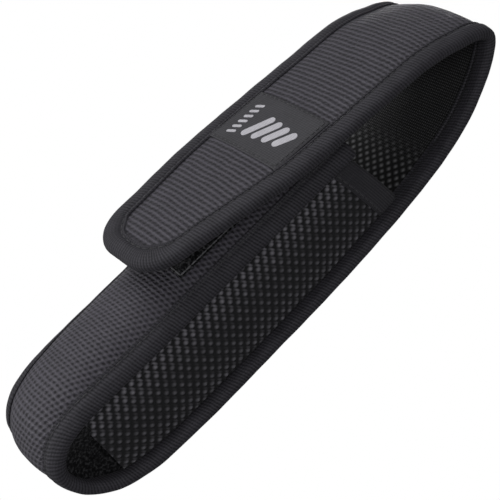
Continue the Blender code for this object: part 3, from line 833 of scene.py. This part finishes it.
def build_gusset(side, word):
    """Elastic side of the pouch, every float of its weave in relief."""
    rows, columns = 440, 126
    k = np.linspace(-FRONT_FLANGE, 1 + BACK_FLANGE, columns)[None, :] + np.zeros((rows, 1))
    t = np.linspace(0, 1, rows)[:, None] + np.zeros((1, columns))
    top = gusset_top(np.clip(k, 0, 1)) - 1.2 * MM
    z = GUSSET_BOTTOM - 1.5 * MM + (top - GUSSET_BOTTOM + 1.5 * MM) * t
    raised = floats(k * GUSSET_WIDTH, z, k)
    edge = np.minimum(k, 1 - k) * GUSSET_WIDTH
    raised = raised * np.clip(edge / (0.8 * MM), 0.0, 1)
    puff = ripple(z, k * GUSSET_WIDTH, 0.040, 7) * 0.2 * MM * np.clip(edge / (2 * MM), 0, 1)
    outer = gusset_surface(side, k, z, GUSSET_THICK / 2 - 0.15 * MM + raised * 0.55 * MM + puff)
    inner = gusset_surface(side, k, z, -GUSSET_THICK / 2 + puff)
    uv = np.stack((k * GUSSET_WIDTH / MM, z / MM), axis=-1)
    piece = slab(f"elastic_gusset_{word}", outer, inner, uv, (MATERIALS["elastic"],))
    # The "raised" attribute holds the floats' colour: painted highlight on their tops and painted shade between
    # them, with speck as uneven tone of the weave; the inner face takes 0.4 of it.
    attribute = piece.data.attributes.new("raised", "FLOAT", "POINT")
    # Painted light falloff across the gusset: the floats are lit most near the front seam, less near the back
    # seam, and fall to painted shade across the middle.
    painted_light_share = 0.42 + 0.58 * np.exp(-(k / 0.30) ** 2) + 0.30 * np.exp(-((1 - k) / 0.2) ** 2)
    speck = 0.75 + 0.25 * ripple(k * GUSSET_WIDTH, z, 0.0031, 9)
    shown = raised ** (1.5 + 1.2 * (1 - painted_light_share)) * painted_light_share * speck
    both = np.concatenate((shown.ravel(), shown.ravel() * 0.4)).astype(np.float32)
    attribute.data.foreach_set("value", both)
    place_on("pouch", piece, "elastic_web", f"gusset_{word}")


def build_hem(side, word):
    """Tape folded over a gusset's top edge, with its row of stitches."""
    k = np.linspace(-0.06, 1.03, 45)
    places = np.column_stack((k, gusset_top(k)))
    inward = np.column_stack((0 * k, -1 + 0 * k))
    half = GUSSET_THICK / 2 + 0.35 * MM
    line = [(HEM_HEIGHT, half), (HEM_HEIGHT - 0.4 * MM, half + 0.3 * MM)]
    line += [(HEM_HEIGHT - 1.2 * MM, half + 0.1 * MM), (HEM_HEIGHT - 2 * MM, half + 0.35 * MM)]
    line += [(HEM_HEIGHT * share, half + 0.3 * MM) for share in (0.65, 0.5, 0.35, 0.2)]
    roll = half + 0.3 * MM
    line += [(roll - roll * math.sin(a), roll * math.cos(a)) for a in np.linspace(0, math.pi, 9)]
    line += [(w, -h) for w, h in reversed(line[:8])]
    hem = fold_tape(f"hem_{word}", line, places, inward,
                    lambda u, v, h: gusset_surface(side, u, v, h), (MATERIALS["plain"],), tape=0.4 * MM)
    place_on("pouch", hem, "binding_tape", f"gusset_hem_{word}")
    k = spaced(0.05, 0.95, 0.105)
    z = gusset_top(k) - (HEM_HEIGHT - 1.2 * MM)
    points = gusset_surface(side, k, z, half + 0.2 * MM)
    normals = gusset_surface(side, k, z, half + MM) - points
    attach(stitches(f"hem_seam_{word}_1", points, normals), "pouch")


def build_corner(side, word):
    """Brushed cloth inside the bottom turn, gathered in small ribs at its rim."""
    start, end = strip.at_height(CORNER_TOP, strip.front), strip.at_height(CORNER_TOP, strip.back)
    s = spaced(start, end, 0.7 * MM)
    rim = strip.surface(s, strip.half_width(s) - BINDING_THICK / 2, 0)
    rim[:, 0] = CORNER_X + 1.6 * MM
    centre = np.array([CORNER_X, rim[:, 1].mean(), CORNER_TOP + 1.2 * MM])
    share = np.linspace(0, 1, 16)
    grid = rim[:, None, :] * (1 - share[None, :, None]) + centre * share[None, :, None]
    sunk = np.sin(share * math.pi / 2)[None, :]
    ribs = np.cos(s / (1.25 * MM) * 2 * math.pi)[:, None] * (1 - share)[None, :] * 0.16 * MM
    grid[:, :, 0] = grid[:, :, 0] * (1 - sunk * 0.02) - sunk * 0.9 * MM + ribs
    grid[:, -1] = grid[:, -1] + (rim - rim.mean(axis=0)) * 0.02
    outer = grid * np.array([side, 1, 1])
    inner = (grid - np.array([1.0 * MM, 0, 0])) * np.array([side, 1, 1])
    piece = slab(f"corner_{word}", outer, inner, grid[:, :, 1:] / MM, (MATERIALS["brushed"],))
    place_on("pouch", piece, "binding_tape", f"corner_tape_{word}")


# ---------------------------------------------------------------- sewn-on pieces

def patch(name, low, high, half, foot, top, material, side=1, rough=0.0, seed=1, corner=1.0 * MM):
    """A patch lying on the strip between two distances along it, its edges pressed down."""
    s, l = spaced(low, high, PATCH_STEP), spaced(-half, half, PATCH_STEP)
    s, l = s[:, None] + 0 * l[None, :], l[None, :] + 0 * s[:, None]
    edge = np.minimum.reduce([s - low, high - s, half - np.abs(l)])
    press = 1 - np.exp(-edge / corner)
    bumps = rough * (ripple(s, l, 0.0045, seed) + ripple(s, l, 0.0021, seed + 4)) * 0.5
    thick = (top - foot) * (0.35 + 0.65 * press) + bumps * press
    outer = strip.surface(s, l, side * (foot + thick))
    inner = strip.surface(s, l, side * foot)
    return slab(name, outer, inner, np.stack((l / MM, s / MM), axis=-1), (MATERIALS[material],))


def stitch_line(a, b, step, least):
    """Stitch places from a to b, both among them."""
    a, b = np.array(a), np.array(b)
    count = max(least, int(round(np.hypot(*(b - a)) / step)) + 1)
    return a + (b - a) * np.linspace(0, 1, count)[:, None]


def box_seam(name, low, high, half, h, body, replaced, thread="dark_thread", share=0.8):
    """Stitches round a rectangle on the strip, one piece to a side."""
    corners = ((low, -half), (low, half), (high, half), (high, -half), (low, -half))
    for number, (a, b) in enumerate(zip(corners[:-1], corners[1:])):
        row = stitch_line(a, b, BOX_STITCH, 2)
        points = strip.surface(row[:, 0], row[:, 1], h)
        normals = strip.surface(row[:, 0], row[:, 1], h + MM) - points
        made = stitches(f"{name}_{number + 1}", points, normals, thread, share)
        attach(made, body)
        if number == 0:
            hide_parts(replaced)


def build_fastener():
    """Loop patch on the front, with its pale stitched border, and the hook patch under the flap."""
    skin = LAMINATE / 2 + 0.15 * MM
    low, high = sorted(strip.at_height(z, strip.front) for z in (PATCH_LOW, PATCH_HIGH))
    piece = patch("loop_patch_pile", low, high, PATCH_HALF, skin, skin + 1.5 * MM, "loops",
                  rough=0.35 * MM, seed=2)
    place_on("pouch", piece, "hook_and_loop", "loop_patch")
    inset = 0.55 * MM
    box_seam("loop_patch_seam", low + inset, high - inset, PATCH_HALF - inset, skin + 1.05 * MM, "pouch",
             "loop_patch_thread", "pale_thread", share=1.0)
    low, high = sorted(strip.at_height(z + HOOK_PATCH_RAISE, strip.flap) for z in (PATCH_LOW, PATCH_HIGH))
    skin = LAMINATE / 2 + 0.1 * MM
    piece = patch("hook_patch_pile", low, high, PATCH_HALF, skin, skin + 1.2 * MM, "hooks",
                  side=-1, rough=0.3 * MM, seed=6)
    place_on("flap", piece, "hook_and_loop", "hook_patch")


def prism(outline, low, high, centre_s):
    """Raised flat shape on the flap: outline points (l, s - centre_s), as vertices and faces."""
    count = len(outline)
    l = np.array([p[0] for p in outline]) * MM
    s = centre_s - np.array([p[1] for p in outline]) * MM
    verts = np.concatenate((strip.surface(s, l, high), strip.surface(s, l, low)))
    faces = [tuple(range(count)), tuple(range(2 * count - 1, count - 1, -1))]
    faces += [(j, count + j, count + (j + 1) % count, (j + 1) % count) for j in range(count)]
    uv = np.column_stack((np.concatenate((l, l)), np.concatenate((s, s)))) / MM
    return verts, faces, uv


def rounded_bar(x, y, length, width, lean):
    """Outline of a round-ended bar centred on (x, y), in millimetres, leaning by an angle."""
    radius, points = width / 2, []
    for centre, first in ((length / 2 - radius, -math.pi / 2), (radius - length / 2, math.pi / 2)):
        for turn in np.linspace(first, first + math.pi, 9):
            points.append((centre + radius * math.cos(turn), radius * math.sin(turn)))
    c, n = math.cos(lean), math.sin(lean)
    return [(x + a * c - b * n, y + a * n + b * c) for a, b in points]


def build_label():
    """Woven label across the flap. Its mark is a plain row of slanted bars and ticks, of no maker."""
    skin = LAMINATE / 2 + 0.15 * MM
    low, high = sorted(strip.at_height(z, strip.flap) for z in (LABEL_LOW, LABEL_HIGH))
    half = float(strip.half_width(high)) - BINDING_FACE + 0.4 * MM
    top = skin + 0.75 * MM
    piece = patch("label_cloth", low, high, half, skin, top, "label", corner=0.7 * MM, rough=0.05 * MM)
    place_on("flap", piece, "woven_label", "woven_label")
    box_seam("label_seam", low + 0.8 * MM, high - 0.8 * MM, half - 1.0 * MM, top - 0.12 * MM, "flap",
             "label_thread")
    middle = (low + high) / 2
    shapes = [rounded_bar(-2.9 + 4.7 * k, -1.4, 12.6 - 1.2 * k, 2.9, math.radians(62)) for k in range(4)]
    shapes += [rounded_bar(-10.9, -7.4 + 2.7 * k, 4.0, 1.2, math.radians(20)) for k in range(6)]
    verts, faces, uv = [], [], []
    for outline in shapes:
        more, more_faces, more_uv = prism(outline, top - 0.3 * MM, top + 0.12 * MM, middle)
        faces += [tuple(i + len(verts) for i in face) for face in more_faces]
        verts += more.tolist()
        uv += more_uv.tolist()
    mark = outward(make_object("label_mark", verts, faces, uv, (MATERIALS["mark"],), sharp=30))
    place_on("flap", mark, "woven_label")


def build_belt_loop():
    """Webbing loop on the back panel, sewn down at both ends with a box and a cross."""
    reach = TUNNEL_HEIGHT / 2
    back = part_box("belt_loop")

    def panel_y(z):
        s = strip.at_height(z, strip.back)
        return strip.surface(s, 0.0, LAMINATE / 2 + 0.3 * MM)[1]

    knees = [(back[0].z, panel_y(back[0].z)), (-reach - LOOP_RAMP, panel_y(-reach - LOOP_RAMP)),
             (-reach, TUNNEL_DEPTH / 2), (reach, TUNNEL_DEPTH / 2),
             (reach + LOOP_RAMP, panel_y(reach + LOOP_RAMP)), (back[1].z, panel_y(back[1].z))]
    knees = np.array(knees)
    z = spaced(knees[0, 0], knees[-1, 0], 0.6 * MM)
    y = np.interp(z, knees[:, 0], knees[:, 1])
    for _ in range(6):
        y[1:-1] = (y[:-2] + 2 * y[1:-1] + y[2:]) / 4
    x = np.linspace(-LOOP_WIDTH / 2, LOOP_WIDTH / 2, 31)
    rounding = np.sqrt(np.clip(1 - (np.abs(x) / (LOOP_WIDTH / 2)) ** 16, 0, 1))
    ribs = 0.06 * MM * np.cos(z / (1.6 * MM) * 2 * math.pi)[:, None] * rounding[None, :]
    middle = y[:, None] + LOOP_WEBBING / 2 + 0 * x[None, :]
    half = LOOP_WEBBING / 2 * (0.35 + 0.65 * rounding)[None, :]
    grid_x, grid_z = np.broadcast_arrays(x[None, :], z[:, None])
    outer = np.stack((grid_x, middle + half - np.abs(ribs), grid_z), axis=-1)
    inner = np.stack((grid_x, middle - half, grid_z), axis=-1)
    uv = np.stack((grid_x / MM, grid_z / MM), axis=-1)
    piece = slab("belt_loop_webbing", outer, inner, uv, (MATERIALS["webbing"],))
    place_on("pouch", piece, "webbing", "belt_loop")
    for word, sign in (("lower", -1), ("upper", 1)):
        near, far = sign * (reach + LOOP_RAMP + 1.2 * MM), sign * (reach + LOOP_RAMP + LOOP_END - 1.2 * MM)
        half_x = LOOP_WIDTH / 2 - 1.8 * MM
        runs = (((-half_x, near), (half_x, near)), ((half_x, near), (half_x, far)),
                ((half_x, far), (-half_x, far)), ((-half_x, far), (-half_x, near)),
                ((-half_x, near), (half_x, far)), ((-half_x, far), (half_x, near)))
        for number, (a, b) in enumerate(runs):
            line = stitch_line(a, b, LOOP_STITCH, 3)
            points = np.column_stack((line[:, 0], np.interp(line[:, 1], z, y) + LOOP_WEBBING, line[:, 1]))
            normals = np.tile((0.0, 1.0, 0.0), (len(line), 1))
            thread = stitches(f"belt_loop_seam_{word}_{number + 1}", points, normals)
            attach(thread, "pouch")
            if number == 0:
                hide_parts(f"belt_loop_thread_{word}")


# ---------------------------------------------------------------- stage

def camera_axes():
    """Right, up and back of an upright camera at the view's azimuth and elevation."""
    level = math.cos(VIEW_ELEVATION)
    back = Vector((math.sin(VIEW_AZIMUTH) * level, -math.cos(VIEW_AZIMUTH) * level,
                   math.sin(VIEW_ELEVATION)))
    right = Vector((math.cos(VIEW_AZIMUTH), math.sin(VIEW_AZIMUTH), 0))
    return right, back.cross(right), back


def build_camera():
    """A long lens from the lower right of the front, rolled so that the sheath lies across the frame."""
    right, up, back = camera_axes()
    place = VIEW_AIM + back * VIEW_DISTANCE - right * VIEW_SHIFT
    roll = math.sqrt(0.5)
    x_axis, y_axis = (right + up) * roll, (up - right) * roll
    data = bpy.data.cameras.new("camera")
    data.lens = LENS
    data.sensor_width = 36
    data.clip_start = 0.01
    camera = bpy.data.objects.new("camera", data)
    axes = Matrix((x_axis, y_axis, back)).transposed().to_4x4()
    camera.matrix_world = Matrix.Translation(place) @ axes
    bpy.context.scene.collection.objects.link(camera)
    bpy.context.scene.camera = camera


def area_light(name, direction, distance, size, power):
    data = bpy.data.lights.new(name, "AREA")
    data.size = size
    data.energy = power
    light = bpy.data.objects.new(name, data)
    direction = direction.normalized()
    light.location = LIGHT_AIM + direction * distance
    light.rotation_euler = direction.to_track_quat("Z", "Y").to_euler()
    bpy.context.scene.collection.objects.link(light)


def build_world():
    """White to the camera, and a weak even light to everything else."""
    world = bpy.data.worlds.new("studio")
    world.use_nodes = True
    nodes, link = world.node_tree.nodes, world.node_tree.links.new
    seen, dim = nodes["Background"], nodes.new("ShaderNodeBackground")
    for node, colour, strength in ((seen, (1, 1, 1, 1), 1.0), (dim, (0.97, 0.97, 1, 1), 0.2)):
        node.inputs["Color"].default_value = colour
        node.inputs["Strength"].default_value = strength
    path, choose = nodes.new("ShaderNodeLightPath"), nodes.new("ShaderNodeMixShader")
    link(path.outputs["Is Camera Ray"], choose.inputs["Fac"])
    link(dim.outputs[0], choose.inputs[1])
    link(seen.outputs[0], choose.inputs[2])
    link(choose.outputs[0], nodes["World Output"].inputs["Surface"])
    bpy.context.scene.world = world


def build_floor():
    """Pale floor well below the hanging sheath, fading into the white round it."""
    z, reach = cad_box[0][2] - FLOOR_DROP, FLOOR_REACH
    mesh = bpy.data.meshes.new("floor")
    mesh.from_pydata([(-reach, -reach, z), (reach, -reach, z), (reach, reach, z), (-reach, reach, z)], [],
                     [(0, 1, 2, 3)])
    floor = bpy.data.objects.new("floor", mesh)
    paint = bpy.data.materials.new("floor_paint")
    paint.use_nodes = True
    tree, shader = paint.node_tree, paint.node_tree.nodes["Principled BSDF"]
    shader.inputs["Base Color"].default_value = (0.92, 0.92, 0.92, 1)
    shader.inputs["Roughness"].default_value = 0.9
    shader.inputs["Emission Color"].default_value = (1, 1, 1, 1)
    spot, away = tree.nodes.new("ShaderNodeTexCoord"), tree.nodes.new("ShaderNodeVectorMath")
    away.operation = "LENGTH"
    fade = tree.nodes.new("ShaderNodeMapRange")
    fade.interpolation_type = "SMOOTHSTEP"
    for key, value in (("From Min", 0.1), ("From Max", 1.7), ("To Min", 0.55), ("To Max", 1.0)):
        fade.inputs[key].default_value = value
    tree.links.new(spot.outputs["Object"], away.inputs[0])
    tree.links.new(away.outputs["Value"], fade.inputs["Value"])
    tree.links.new(fade.outputs["Result"], shader.inputs["Emission Strength"])
    floor.visible_diffuse = floor.visible_glossy = False
    mesh.materials.append(paint)
    bpy.context.scene.collection.objects.link(floor)


def build_stage():
    """White room with a soft key light from the left, a fill at the camera, one low and one behind."""
    build_world()
    build_floor()
    right, up, back = camera_axes()
    area_light("key", up * 0.18 - right * 1.0 + back * 0.3, 1.0, 0.8, 6.4)
    area_light("fill", back * 1.0 + up * 0.1 + right * 0.1, 1.0, 0.7, 3.2)
    area_light("low", back * 0.2 - up * 0.85 - right * 0.6, 0.45, 0.2, 0.6)
    area_light("behind", up * 0.35 - right * 0.2 - back * 1.0, 1.1, 0.7, 6.0)
    bpy.context.scene.view_settings.view_transform = "Standard"


# ---------------------------------------------------------------- all of it

build_camera()
build_stage()
panel("lower_panel", BINDING_THICK / 2, SPLIT, 0.0,
      ("pouch_shell", "pouch_foam", "pouch_lining", "fold_shell", "fold_foam", "fold_lining"), bend_low)
panel("upper_panel", SPLIT, strip.length, BINDING_THICK / 2,
      ("flap_shell", "flap_foam", "flap_lining"), bend_high)
build_bindings()
for side_sign, side_word in ((-1, "left"), (1, "right")):
    build_gusset(side_sign, side_word)
    build_hem(side_sign, side_word)
    build_corner(side_sign, side_word)
build_fastener()
build_label()
build_belt_loop()
